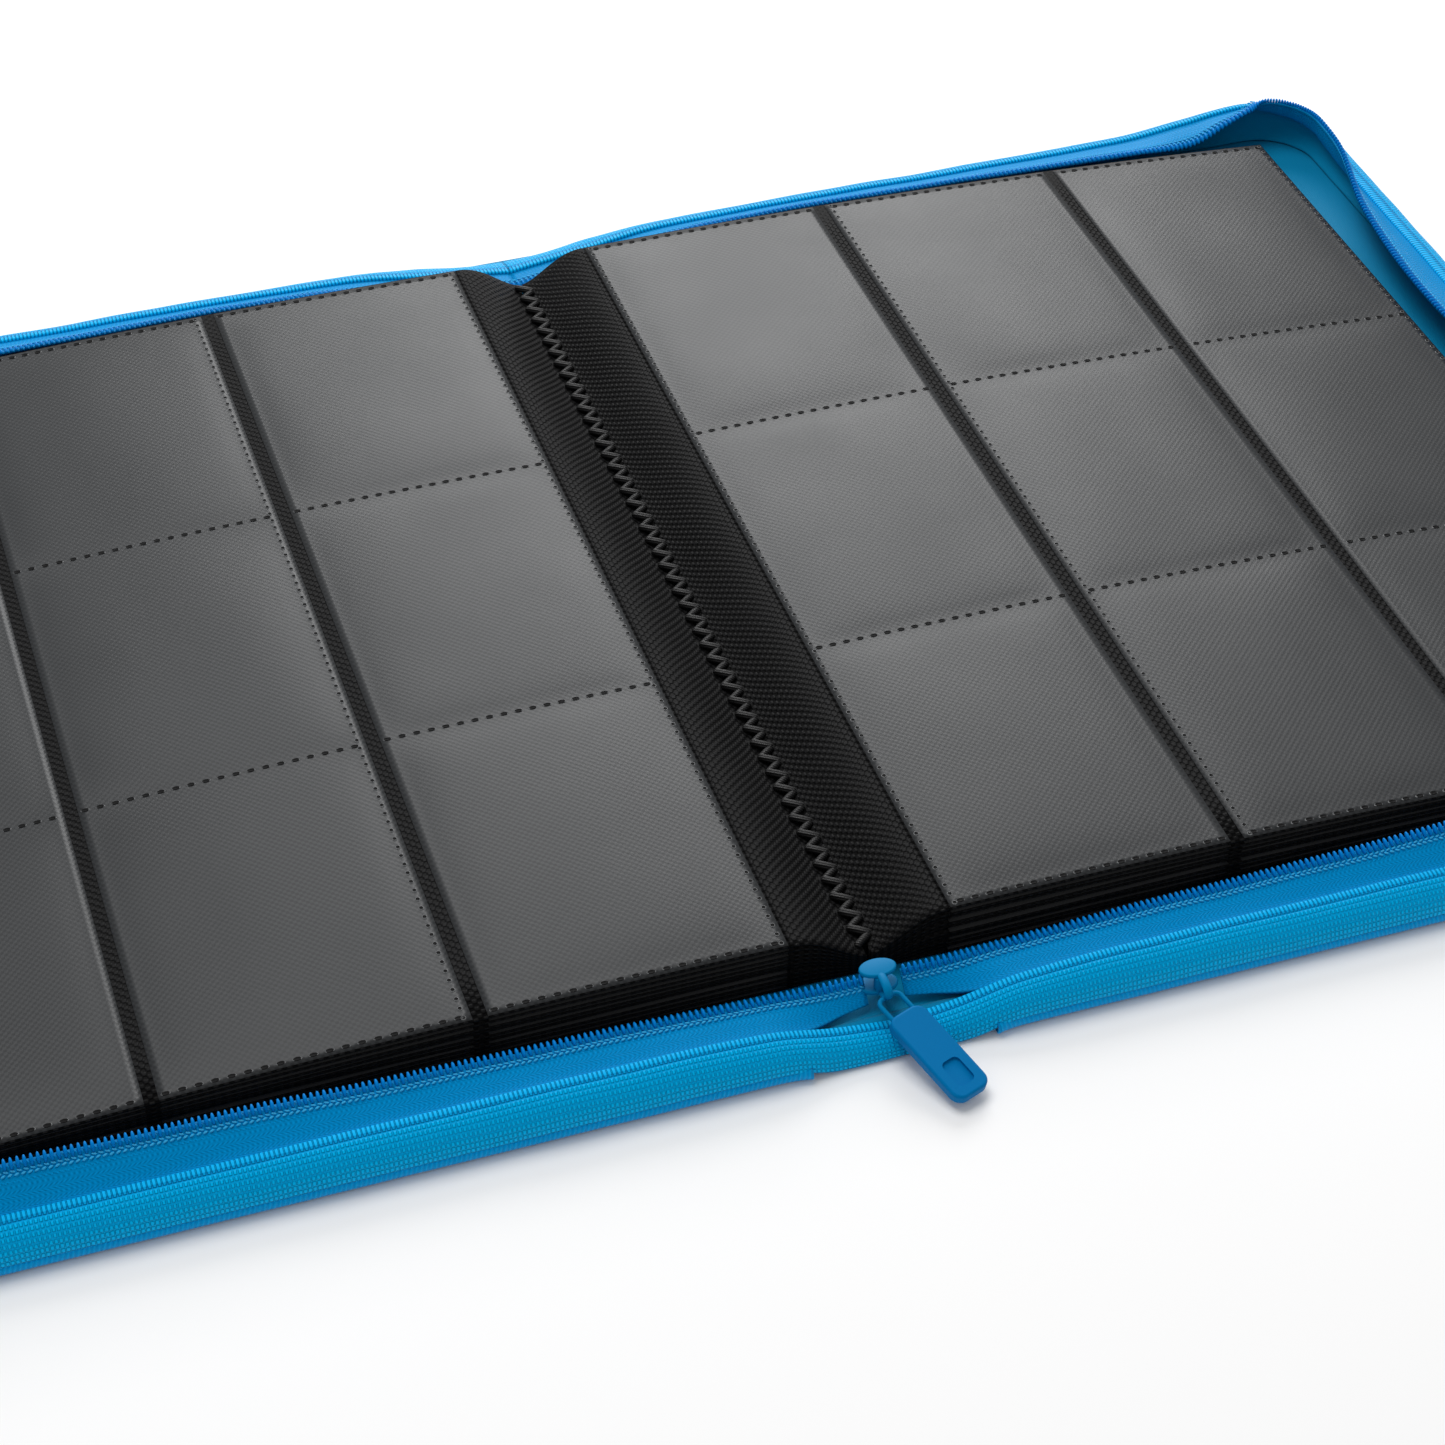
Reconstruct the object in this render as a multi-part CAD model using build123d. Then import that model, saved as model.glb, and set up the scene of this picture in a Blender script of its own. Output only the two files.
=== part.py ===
from build123d import *
import math
import os

# Zippered card binder, lying open at its middle on a table.
# Origin: on the table, under the middle of the stitched gutter.
# +X runs across the right-hand cover, +Y to the back edge, +Z up. Millimetres.

# ---- driving dimensions -------------------------------------------------
HALF_DEPTH = 167.0        # outer edge of a cover, front and back
COVER_END = 260.5         # outer edge of a cover at the fore-edge
COVER_CORNER = 26.0       # outer corner radius in plan
SPINE_HALF = 17.0         # the stiff spine panel ends here
COVER_START = 23.5        # a stiff cover panel starts here
SOFT_END = 43.0           # zipper and binding are loose between here and the slider

OUTER_FABRIC = 0.6
BOARD = 2.5
LINING = 0.8
LINING_TOP = OUTER_FABRIC + BOARD + LINING

LEAVES = 10               # leaves on each side of the gutter
PAGE_HALF = 143.0         # half the height of a page
GUTTER_X = 0.6            # a strip starts here, beside the stitching
CREASE_X = 19.0           # strip and leaf meet here
FILM_START = 19.4         # the first column of film starts beside the crease
PAGE_END = 233.0
BAND_1 = (88.6, 92.1)     # bare backing between the first and second column
BAND_2 = (161.2, 164.4)   # and between the second and third
BACKING = 0.36
FILM = 0.12
STACK_BOTTOM = LINING_TOP + 0.4
PITCH_GUTTER = 0.5        # rise from sheet to sheet at the stitching
PITCH_CREASE = 1.45       # at the crease
PITCH_EDGE = 0.75         # at the fore-edge

STITCH_PITCH = 7.2
STITCH_REACH = 2.4        # half the width of the zigzag
STITCH_RADIUS = 0.5
STITCH_Z = 11.0

BINDING_TOP = 10.8        # top of the ribbed wall band
BINDING = (0.4, 2.0)      # its faces, measured inward from the cover's edge
PIPING_TOP = 3.4
TAPE_FOOT = (5.0, 11.0)   # zipper tape: inward distance and height at its foot
TAPE_HEAD = (15.0, 15.8)  # and where the coil is sewn on
TAPE = 0.7
COIL = 2.2
DIP_TOP = 5.4             # the binding sinks to this height under the slider
FRONT_DROP = 6.3          # how far the coil sinks on its way to the slider
BACK_DROP = 8.0           # and across the spine at the back
FOOT_DROP = 6.3           # how far the foot of the tape sinks at both

SLIDER_X = -1.0
SLIDER_Y = -151.0
SLIDER_WIDTH = 10.0
SLIDER_MOUTH = 6.8        # the coils stop at this distance from the middle
SLIDER_LENGTH = 9.0
SLIDER_PLATE = 1.4
SLIDER_LOW = 7.4
SLIDER_HIGH = 11.6
HINGE_Y = -156.9          # the pull's wire turns about this line
HINGE_Z = 9.6
PULL_YAW = 21.0
PULL_DIP = 13.5
TAB_WIDTH = 10.0
TAB_LENGTH = 25.0
TAB_THICK = 2.2
TAB_START = 5.2
WIRE = 1.1
WIRE_HALF = 3.0           # half the distance between the wire's legs
WIRE_DEPTH = 2.0          # how deep the legs sit in the tab


def save(name, shape):
    """One sub-part to one STEP file."""
    shape.label = name
    export_step(shape, os.path.join("parts", name + ".step"))


def mirror_left(shape):
    """The left-hand twin of a right-hand piece."""
    return mirror(shape, about=Plane.YZ)


def save_pair(name, shape):
    save("right_" + name, shape)
    save("left_" + name, mirror_left(shape))


def ribbon(outline, half_depth):
    """A prism along Y from an outline of (x, z) points."""
    face = Plane.XZ * make_face(Polyline(*outline, close=True))
    return Pos(0, half_depth, 0) * extrude(face, amount=2 * half_depth)


def plate(inset, low, high, start):
    """A flat cover layer with round outer corners, set in from the cover's edge."""
    length = COVER_END - inset - start
    depth = 2 * (HALF_DEPTH - inset)
    slab = Box(length, depth, high - low)
    corners = slab.edges().filter_by(Axis.Z).sort_by(Axis.X)[-2:]
    slab = fillet(corners, COVER_CORNER - inset)
    return Pos(start + length / 2, 0, (low + high) / 2) * slab


def edge_path():
    """The cover's outer edge: front side, fore-edge and back side."""
    straight_x = COVER_END - COVER_CORNER
    straight_y = HALF_DEPTH - COVER_CORNER
    front = Line((SOFT_END, -HALF_DEPTH), (straight_x, -HALF_DEPTH))
    corner_1 = CenterArc((straight_x, -straight_y), COVER_CORNER, -90, 90)
    side = Line((COVER_END, -straight_y), (COVER_END, straight_y))
    corner_2 = CenterArc((straight_x, straight_y), COVER_CORNER, 0, 90)
    back = Line((straight_x, HALF_DEPTH), (SOFT_END, HALF_DEPTH))
    return Wire([front, corner_1, side, corner_2, back])


def wall(outline):
    """A band round three sides of the cover, from (inward, height) points."""
    start = Plane(origin=(SOFT_END, -HALF_DEPTH, 0), x_dir=(0, 1, 0), z_dir=(1, 0, 0))
    return sweep(start * make_face(Polyline(*outline, close=True)), path=edge_path())


# ---- spine --------------------------------------------------------------
def spine_layer(low, high, inset):
    size = (2 * SPINE_HALF, 2 * (HALF_DEPTH - inset), high - low)
    return Pos(0, 0, (low + high) / 2) * Box(*size)


def gutter_stitch():
    """The zigzag thread along the gutter, one bar for each stitch."""
    count = int(2 * PAGE_HALF / STITCH_PITCH) - 1
    lean = math.degrees(math.atan2(2 * STITCH_REACH, STITCH_PITCH / 2))
    length = math.hypot(2 * STITCH_REACH, STITCH_PITCH / 2) - 1.0
    bars = []
    for i in range(count):
        y = (i - (count - 1) / 2) * STITCH_PITCH
        for side in (-1, 1):
            bar = Rot(-90, 0, 0) * Cylinder(STITCH_RADIUS, length)
            place = Pos(0, y + side * STITCH_PITCH / 4, STITCH_Z) * Rot(0, 0, side * lean)
            bars.append(place * bar)
    return Compound(children=bars)


# ---- cover --------------------------------------------------------------
def wall_binding():
    near, far = BINDING
    low = PIPING_TOP + 0.2
    return wall([(near, low), (far, low), (far, BINDING_TOP), (near, BINDING_TOP)])


def edge_piping():
    """The thin lower band sewn round the rim of the outer fabric."""
    return wall([(0.0, 0.7), (1.0, 0.2), (2.2, 0.7), (2.2, 2.8), (1.1, PIPING_TOP), (0.0, 2.8)])


def tape_outline():
    (foot, low), (head, high) = TAPE_FOOT, TAPE_HEAD
    return [(foot, low), (head, high), (head, high + TAPE), (foot, low + TAPE)]


def coil_outline():
    inward, height = TAPE_HEAD
    low = height - 0.1
    return [(inward + 0.1, low), (inward + 0.1 + COIL, low),
            (inward + 0.1 + COIL, low + COIL), (inward + 0.1, low + COIL)]


# ---- loose zipper ends round the spine ----------------------------------
def quad(x, outline):
    """A cross-section at x, from (inward, height) points measured at the front."""
    plane = Plane(origin=(x, -HALF_DEPTH, 0), x_dir=(0, 1, 0), z_dir=(1, 0, 0))
    return plane * make_face(Polyline(*outline, close=True))


def soft_binding():
    """The wall band across the spine, sagging under the slider."""
    low = PIPING_TOP + 0.2
    reach = SOFT_END - 0.3
    outline = [(-reach, 0.8), (reach, 0.8), (reach, BINDING_TOP), (SPINE_HALF, DIP_TOP + 1.2),
               (9.0, DIP_TOP), (-9.0, DIP_TOP), (-SPINE_HALF, DIP_TOP + 1.2), (-reach, BINDING_TOP)]
    face = Plane.XZ * make_face(Polyline(*outline, close=True))
    near, far = BINDING
    return Pos(0, -HALF_DEPTH + far, 0) * extrude(face, amount=far - near)


def soft_tape(end_x, drop):
    """Tape from the stiff part of the cover to end_x, where its head has sunk by drop."""
    (foot, low), (head, high) = TAPE_FOOT, TAPE_HEAD
    low_end = [(foot, low - FOOT_DROP), (head, high - drop),
               (head, high - drop + TAPE), (foot, low - FOOT_DROP + TAPE)]
    return loft([quad(SOFT_END - 0.3, tape_outline()), quad(end_x, low_end)], ruled=True)


def soft_coil(end_x, drop):
    low_end = [(inward, height - drop) for inward, height in coil_outline()]
    return loft([quad(SOFT_END - 0.3, coil_outline()), quad(end_x, low_end)], ruled=True)


def back_side(shape):
    return mirror(shape, about=Plane.XZ)


# ---- sheets and leaves --------------------------------------------------
def crease_height(sheet):
    return STACK_BOTTOM + sheet * PITCH_CREASE


def edge_height(sheet):
    return STACK_BOTTOM + sheet * PITCH_EDGE


def leaf_height(sheet, x):
    share = (x - CREASE_X) / (PAGE_END - CREASE_X)
    return crease_height(sheet) + share * (edge_height(sheet) - crease_height(sheet))


def leaf_layer(sheet, start, end, lift, thick, inset=0.0):
    """One flat layer of a leaf between two distances from the gutter."""
    low_1 = leaf_height(sheet, start) + lift
    low_2 = leaf_height(sheet, end) + lift
    outline = [(start, low_1), (end, low_2), (end, low_2 + thick), (start, low_1 + thick)]
    return ribbon(outline, PAGE_HALF - inset)


def film_panels(sheet, lift, start):
    """Three pocket columns of clear film on one face of a leaf."""
    columns = [(start, BAND_1[0]), (BAND_1[1], BAND_2[0]), (BAND_2[1], PAGE_END - 0.2)]
    return Compound(children=[leaf_layer(sheet, a, b, lift, FILM, 0.4) for a, b in columns])


def strip(sheet):
    """The part of a sheet between the stitching and the crease."""
    low_1 = STACK_BOTTOM + sheet * PITCH_GUTTER
    low_2 = leaf_height(sheet, CREASE_X) + FILM
    end = CREASE_X - 0.2
    return ribbon([(GUTTER_X, low_1), (end, low_2), (end, low_2 + BACKING),
                   (GUTTER_X, low_1 + BACKING)], PAGE_HALF)


# ---- slider and pull ----------------------------------------------------
def shield(width, length, nose):
    """A plan outline: square at the pages, drawn in to a nose at the front."""
    half = width / 2
    outline = [(-half, length / 2), (half, length / 2), (half, 0), (nose, -length / 2),
               (-nose, -length / 2), (-half, 0)]
    return make_face(Polyline(*outline, close=True))


def slider_body():
    upper = extrude(shield(SLIDER_WIDTH, SLIDER_LENGTH, 2.4), amount=SLIDER_PLATE)
    upper = fillet(upper.edges().filter_by(Axis.Z), 1.0)
    lower = extrude(shield(SLIDER_WIDTH, SLIDER_LENGTH, 2.4), amount=SLIDER_PLATE)
    lower = fillet(lower.edges().filter_by(Axis.Z), 1.0)
    gap = SLIDER_HIGH - SLIDER_LOW
    post = Pos(0, -SLIDER_LENGTH / 2 + 2.2, gap / 2) * Box(2.4, 3.0, gap)
    body = Pos(0, 0, gap) * upper + lower + post
    return Pos(SLIDER_X, SLIDER_Y, SLIDER_LOW) * body


def bridge():
    """The small loop under the nose that holds the pull's wire."""
    ring = Cylinder(2.1, 1.4) - Cylinder(WIRE / 2 + 0.5, 1.4)
    ring = Rot(0, 90, 0) * ring
    return Pos(SLIDER_X, HINGE_Y, HINGE_Z) * Rot(0, 0, PULL_YAW) * ring


def pull_place():
    """From the pull's own frame, lying along -Y, to where it hangs at rest."""
    return Pos(SLIDER_X, HINGE_Y, HINGE_Z) * Rot(0, 0, PULL_YAW) * Rot(PULL_DIP, 0, 0)


def pull_wire():
    half = WIRE_HALF
    end = -(TAB_START + WIRE_DEPTH)
    path = FilletPolyline((-half, end, 0), (-half, 0, 0), (half, 0, 0), (half, end, 0), radius=1.5)
    section = Plane(origin=(-half, end, 0), z_dir=(0, 1, 0)) * Circle(WIRE / 2)
    return sweep(section, path=path)


def pull_tab():
    """A moulded tab with round corners and a plain rounded recess near its free end."""
    body = Box(TAB_WIDTH, TAB_LENGTH, TAB_THICK)
    body = fillet(body.edges().filter_by(Axis.Z), 2.8)
    body = fillet(body.edges().group_by(Axis.Z)[-1], 0.7)
    recess = Box(4.8, 7.0, 1.4)
    recess = fillet(recess.edges().filter_by(Axis.Z), 1.4)
    recess = Pos(0, -TAB_LENGTH / 2 + 6.2, TAB_THICK / 2) * recess
    body = Pos(0, -TAB_START - TAB_LENGTH / 2, 0) * (body - recess)
    socket = Rot(90, 0, 0) * Cylinder(WIRE / 2, WIRE_DEPTH + 0.2)
    for side in (-1, 1):
        body -= Pos(side * WIRE_HALF, -TAB_START - WIRE_DEPTH / 2, 0) * socket
    return body


# ---- write every sub-part -----------------------------------------------
os.makedirs("parts", exist_ok=True)

save("spine_outer_fabric", spine_layer(0, OUTER_FABRIC, 1.0))
save("spine_board", spine_layer(OUTER_FABRIC, OUTER_FABRIC + BOARD, 3.0))
save("spine_lining", spine_layer(OUTER_FABRIC + BOARD, LINING_TOP, 3.0))
save("gutter_stitch", gutter_stitch())

save_pair("cover_fabric", plate(2.4, 0, OUTER_FABRIC, COVER_START))
save_pair("cover_board", plate(3.5, OUTER_FABRIC, OUTER_FABRIC + BOARD, COVER_START))
save_pair("cover_lining", plate(3.0, OUTER_FABRIC + BOARD, LINING_TOP, COVER_START))
save_pair("wall_binding", wall_binding())
save_pair("edge_piping", edge_piping())
save_pair("zip_tape", wall(tape_outline()))
save_pair("zip_coil", wall(coil_outline()))

front_tape = soft_tape(SLIDER_MOUTH, FRONT_DROP)
front_coil = soft_coil(SLIDER_MOUTH, FRONT_DROP)
back_tape = back_side(soft_tape(0.3, BACK_DROP))
back_coil = back_side(soft_coil(0.3, BACK_DROP))
save("front_end_binding", soft_binding())
save("back_end_binding", back_side(soft_binding()))
save("front_tape_ends", Compound(children=[front_tape, mirror_left(front_tape)]))
save("front_coil_ends", Compound(children=[front_coil, mirror_left(front_coil)]))
save("back_tape_ends", Compound(children=[back_tape, mirror_left(back_tape)]))
save("back_coil_ends", Compound(children=[back_coil, mirror_left(back_coil)]))

top = LEAVES - 1
save_pair("inner_strips", Compound(children=[strip(n) for n in range(top)]))
for n in range(top):
    save_pair(f"leaf_{n + 1}_backing", leaf_layer(n, CREASE_X, PAGE_END, FILM, BACKING))
inner_films = []
for n in range(top):
    inner_films += film_panels(n, 0.0, FILM_START).children
    inner_films += film_panels(n, FILM + BACKING, FILM_START).children
save_pair("inner_films", Compound(children=inner_films))

save_pair("top_strip", strip(top))
save_pair("top_backing", leaf_layer(top, CREASE_X, PAGE_END, FILM, BACKING))
save_pair("top_front_film", film_panels(top, FILM + BACKING, FILM_START))
save_pair("top_back_film", film_panels(top, 0.0, FILM_START))

save("slider_body", slider_body() + bridge())
save("pull_wire", pull_place() * pull_wire())
save("pull_tab", pull_place() * pull_tab())
print("sub-parts:", len(os.listdir("parts")))
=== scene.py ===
# %% [markdown]
# # A zippered card binder, lying open at its middle
# The real object is two stiff boards and a narrow spine panel, wrapped in azure cloth. A zipper on
# a soft wall runs round three sides. Ten pages with card pockets are sewn into the gutter on each
# side. The stiff parts, the joints and every outer size come from the CAD frame. The cloth, the
# zipper, the film pockets and the thread are made here, because their look lies in small shapes.

# %% Load the frame
import math

import bmesh
import bpy
from mathutils import Matrix, Vector, noise


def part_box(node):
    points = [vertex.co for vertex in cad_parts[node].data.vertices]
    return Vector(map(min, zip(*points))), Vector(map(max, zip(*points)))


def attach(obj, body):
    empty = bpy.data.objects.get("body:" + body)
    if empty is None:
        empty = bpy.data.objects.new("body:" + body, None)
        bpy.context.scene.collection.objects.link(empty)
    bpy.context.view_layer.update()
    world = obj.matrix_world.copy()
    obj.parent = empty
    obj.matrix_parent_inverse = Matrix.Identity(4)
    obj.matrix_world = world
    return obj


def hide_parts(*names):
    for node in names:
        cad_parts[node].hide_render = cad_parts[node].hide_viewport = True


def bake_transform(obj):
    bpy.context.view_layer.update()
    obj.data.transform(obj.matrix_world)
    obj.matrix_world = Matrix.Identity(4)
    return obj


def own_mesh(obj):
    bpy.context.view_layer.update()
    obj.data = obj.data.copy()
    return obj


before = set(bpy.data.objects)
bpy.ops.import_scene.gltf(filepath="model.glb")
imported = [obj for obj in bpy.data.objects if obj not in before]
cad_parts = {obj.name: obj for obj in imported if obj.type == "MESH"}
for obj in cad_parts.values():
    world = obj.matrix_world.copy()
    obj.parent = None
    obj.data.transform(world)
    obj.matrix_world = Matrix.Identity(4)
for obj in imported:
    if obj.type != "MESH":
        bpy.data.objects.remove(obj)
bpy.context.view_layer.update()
MM = 0.001

# %% [markdown]
# ## Camera, light and floor
# A long lens from above the front left corner keeps the far pages large. A white surround gives
# the shadowless studio look. Two large soft lamps, one behind the object and one above it, lay a
# pale sheen over the film. The floor is plain and bright, so that only a soft contact shadow shows.

# %% Camera
lens = bpy.data.cameras.new("studio_camera")
lens.lens = 83.46
lens.sensor_width = 36
camera = bpy.data.objects.new("studio_camera", lens)
to_right = Vector((0.9479, -0.31855, 0.00416)).normalized()
forward = Vector((0.24329, 0.71539, -0.655)).normalized()
upward = to_right.cross(forward)
turn = Matrix((to_right, upward, -forward)).transposed()
camera.matrix_world = Matrix.Translation((-0.20441, -0.64019, 0.54344)) @ turn.to_4x4()
bpy.context.scene.collection.objects.link(camera)
bpy.context.scene.camera = camera
bpy.context.scene.view_settings.view_transform = "Standard"
print("camera looks along", tuple(round(c, 3) for c in forward))


# %% Light
def soft_lamp(name, place, target, size, power):
    """A square area lamp at place, turned to face target."""
    data = bpy.data.lights.new(name, "AREA")
    data.size = size
    data.energy = power
    lamp = bpy.data.objects.new(name, data)
    facing = (Vector(target) - Vector(place)).to_track_quat("-Z", "Y")
    lamp.matrix_world = Matrix.Translation(place) @ facing.to_matrix().to_4x4()
    bpy.context.scene.collection.objects.link(lamp)


soft_lamp("back_lamp", (0.5, 1.35, 0.85), (0.05, 0.05, 0), 0.8, 15)
soft_lamp("top_lamp", (-0.2, 0.45, 1.4), (0, 0, 0), 0.9, 12)
surround = bpy.data.worlds.new("studio_surround")
surround.use_nodes = True
background = surround.node_tree.nodes["Background"]
background.inputs["Color"].default_value = (1, 1, 1, 1)
background.inputs["Strength"].default_value = 0.44
bpy.context.scene.world = surround
print("lamps:", len(bpy.data.lights))

# %% [markdown]
# ## Shader sums
# A finish is a short sum over the piece's coordinates. A small class wraps a node's output, so
# that the sum is written as Python and each operator adds its own Math node.


# %% Wire
class Wire:
    """A node's output. Its sums are written as Python sums."""

    def __init__(self, tree, socket=None):
        self.tree = tree
        self.socket = socket

    def node(self, kind, settings=None, values=None, out=0):
        """Any node: its type, its settings first, then its sockets' values or links."""
        made = self.tree.nodes.new("ShaderNode" + kind)
        for name, value in (settings or {}).items():
            setattr(made, name, value)
        for name, value in (values or {}).items():
            if isinstance(value, Wire):
                self.tree.links.new(value.socket, made.inputs[name])
            else:
                made.inputs[name].default_value = value
        return Wire(self.tree, made.outputs[out] if made.outputs else None)

    def maths(self, operation, *others):
        """This value and others through one Math node."""
        return self.node("Math", {"operation": operation}, dict(enumerate((self,) + others)))

    def __add__(self, other):
        return self.maths("ADD", other)

    __radd__ = __add__

    def __sub__(self, other):
        return self.maths("SUBTRACT", other)

    def __rsub__(self, other):
        return self.node("Math", {"operation": "SUBTRACT"}, {0: other, 1: self})

    def __mul__(self, other):
        return self.maths("MULTIPLY", other)

    __rmul__ = __mul__

    def __truediv__(self, other):
        return self.maths("DIVIDE", other)

    def wave(self, pitch):
        """A sine of this value, from -1 to 1, that repeats every pitch."""
        return (self * (2 * math.pi / pitch)).maths("SINE")

    def between(self, low, high):
        """0 below low, 1 above high and a smooth step between them."""
        settings = {"interpolation_type": "SMOOTHSTEP"}
        return self.node("MapRange", settings, {0: self, 1: low, 2: high, 3: 0.0, 4: 1.0})

    def tint(self, one, two):
        """The colour one where this value is 0 and two where it is 1."""
        return self.node("Mix", {"data_type": "RGBA"}, {0: self, 6: one, 7: two}, 2)

    def parts(self):
        """The three numbers of a vector."""
        first = self.node("SeparateXYZ", values={0: self})
        return [Wire(self.tree, plug) for plug in first.socket.node.outputs]

    def cloud(self, size, detail=2.0):
        """Soft noise from 0 to 1 over these coordinates, with blots about size across."""
        return self.node("TexNoise", {}, {"Vector": self, "Scale": 1 / size, "Detail": detail})


# %% Start and close a finish
def blank(name):
    """A new material and the wire that adds nodes to it."""
    material = bpy.data.materials.new(name)
    material.use_nodes = True
    material.node_tree.nodes.clear()
    return material, Wire(material.node_tree)


def close(wire, colour, roughness, height=None, **fixed):
    """The surface shader. height is a relief in metres, and fixed sets the shader's own sockets."""
    values = {"Base Color": colour, "Roughness": roughness}
    if height:
        values["Normal"] = wire.node("Bump", {}, {"Height": height, "Distance": 1.0})
    for name, value in fixed.items():
        values[name.replace("_", " ")] = value
    shader = wire.node("BsdfPrincipled", values=values)
    wire.node("OutputMaterial", values={"Surface": shader})


def srgb(red, green, blue):
    """A colour from screen values of 0 to 255."""
    screen = (red, green, blue)
    linear = [((c / 255 + 0.055) / 1.055) ** 2.4 if c > 10 else c / 3295 for c in screen]
    return (*linear, 1.0)


def darker(colour, share):
    """The same colour at a share of its brightness."""
    return tuple(c * share for c in colour[:3]) + (1,)


def over_object(wire):
    """The object's coordinates, in metres."""
    return wire.node("TexCoord", out=3)


def over_sheet(wire):
    """The piece's own coordinates, in metres along it and across it."""
    return wire.node("TexCoord", out=2)


# %% [markdown]
# ## The azure cloths
# The cover is a plain weave of flat yarns, and the lining a finer and smoother one. Both are two
# crossed sines, at each cloth's own pitch. The zipper tape is a herringbone, whose ribs are pushed
# along by a third wave. The yarns stand up a few hundredths of a millimetre, and the gaps between
# them are a little darker.


# %% Cloth finishes
AZURE = srgb(0, 146, 214)


def woven(name, colour, pitch, rise, roughness, sheen):
    """A plain weave over the object's coordinates."""
    material, wire = blank(name)
    spot = over_object(wire)
    x, y, z = spot.parts()
    warp = x.wave(2 * pitch)
    weft = (y + z).wave(2 * pitch)
    over = (warp * weft + 1) / 2
    fluff = spot.cloud(0.0006)
    blots = spot.cloud(0.03)
    height = (over + fluff * 0.4) * rise
    shade = (over * 0.6 + blots * 0.4).tint(darker(colour, 0.78), colour)
    close(wire, shade, fluff * 0.1 + roughness, height, Sheen_Weight=sheen, Specular_Tint=AZURE)
    return material


def herringbone(name, colour):
    """Zipper tape: slanting ribs that change direction, a plain guard band, a sewn line and painted
    shade at the foot.
    """
    material, wire = blank(name)
    sheet = over_sheet(wire)
    along, across, _ = sheet.parts()
    swing = across.wave(0.0046).maths("ABSOLUTE") * 0.0016
    ribs = (along + swing).wave(0.0011)
    grain = across.wave(0.0007) * ribs
    fluff = sheet.cloud(0.0005)
    guard = across.between(0.0074, 0.0078)
    sewing = across.between(0.0062, 0.0064) - guard
    stitches = along.wave(0.0012).between(-0.2, 0.4) * across.wave(0.0012).between(-0.4, 0.2)
    # Painted shade: the tape is darkened along the crease at its foot, where it meets the wall band.
    crease_shade = 1 - across.between(0.0006, 0.0016)
    height = (ribs * 0.6 + grain * 0.5 + fluff) * 0.00004 + sewing * stitches * 0.0001
    deep = darker(colour, 0.42)
    weave = ribs * 0.2 + grain * 0.2 + fluff * 0.25 + 0.6
    shade = (weave + sewing * stitches * 0.35 - guard * 0.3 - crease_shade * 0.4).tint(deep, colour)
    close(wire, shade, fluff * 0.12 + 0.48, height, Specular_Tint=AZURE, Specular_IOR_Level=0.25)
    return material


cover_cloth = woven("cover_cloth", srgb(0, 132, 196), 0.0005, 0.00006, 0.6, 0.05)
lining_cloth = woven("lining_cloth", srgb(0, 128, 172), 0.00035, 0.00003, 0.62, 0.05)
tape_cloth = herringbone("tape_cloth", AZURE)


# %% [markdown]
# ## The ribbed binding
# The wall band is a grosgrain ribbon: rows of small raised beads, between a lower and an upper lip
# whose ribs are taller. Beads are the product of two waves, one along the ribbon and one across it.
# Under the upper lip, a dark line of painted shade stands for a sewn groove. The piping has close
# ribs and a sewn groove too, darkened with painted shade.


# %% Binding finish
def grosgrain(name, colour):
    """Rows of beads over the ribbon's own coordinates: tall ribs on both lips, dots between."""
    material, wire = blank(name)
    sheet = over_sheet(wire)
    along, across, _ = sheet.parts()
    beads = along.wave(0.0021).maths("ABSOLUTE")
    rows = across.wave(0.0023).maths("ABSOLUTE")
    lower = 1 - across.between(0.0028, 0.0032)
    upper = across.between(0.0084, 0.0088)
    middle = 1 - lower - upper
    # Painted shade: a dark line under the upper lip, with no relief of its own, stands for the sewn
    # groove.
    sewn_groove_shade = across.between(0.008, 0.0082) - across.between(0.0086, 0.009)
    dots = beads.between(0.25, 0.9) * rows.between(0.2, 0.8)
    fluff = sheet.cloud(0.0006)
    tall = beads.between(0.05, 0.7)
    pairs = tall * rows.between(0.05, 0.6)
    height = dots * middle * 0.00035 + (tall * upper + pairs * lower) * 0.0004 + fluff * 0.00005
    deep = (0.0, colour[1] * 0.36, colour[2] * 0.5, 1)
    light = upper * (tall * 0.35 + 0.5) + lower * (pairs * 0.4 + 0.75) + middle * (dots * 0.5 + 0.6)
    shade = (light + fluff * 0.2 - 0.1 - sewn_groove_shade * 0.5).tint(deep, colour)
    close(wire, shade, fluff * 0.15 + 0.42, height, Specular_Tint=AZURE, Specular_IOR_Level=0.3)
    return material


def corded(name, colour):
    """Piping cloth: close ribs across the fold, and a sewn-down groove darkened with painted shade.
    """
    material, wire = blank(name)
    sheet = over_sheet(wire)
    along, across, _ = sheet.parts()
    ribs = (along + across * 0.25).wave(0.0011)
    fluff = sheet.cloud(0.0006)
    # The sewn groove is pressed in as relief and also darkened with painted shade.
    seam_groove_shade = across.between(0.0032, 0.0036) - across.between(0.0041, 0.0045)
    deep = (0.0, colour[1] * 0.3, colour[2] * 0.5, 1)
    shade = (ribs * 0.15 + fluff * 0.25 + 0.65 - seam_groove_shade * 0.7).tint(deep, colour)
    height = ribs * 0.00008 + fluff * 0.00004 - seam_groove_shade * 0.0003
    close(wire, shade, fluff * 0.15 + 0.45, height, Specular_Tint=AZURE, Sheen_Weight=0.05)
    return material


ribbon = grosgrain("ribbed_ribbon", srgb(0, 186, 250))
piping_cloth = corded("piping_cloth", srgb(0, 172, 240))
print("cloth finishes:", len(bpy.data.materials))

# %% [markdown]
# ## Film, backing and thread
# The pockets are cast film over a black sheet, so they read as dark grey with a soft gloss, and
# carry a fine diamond emboss. The bare black sheet has a coarser basket emboss. Both embosses
# are two crossed waves, whose raised squares line up along the diagonals.


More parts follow.
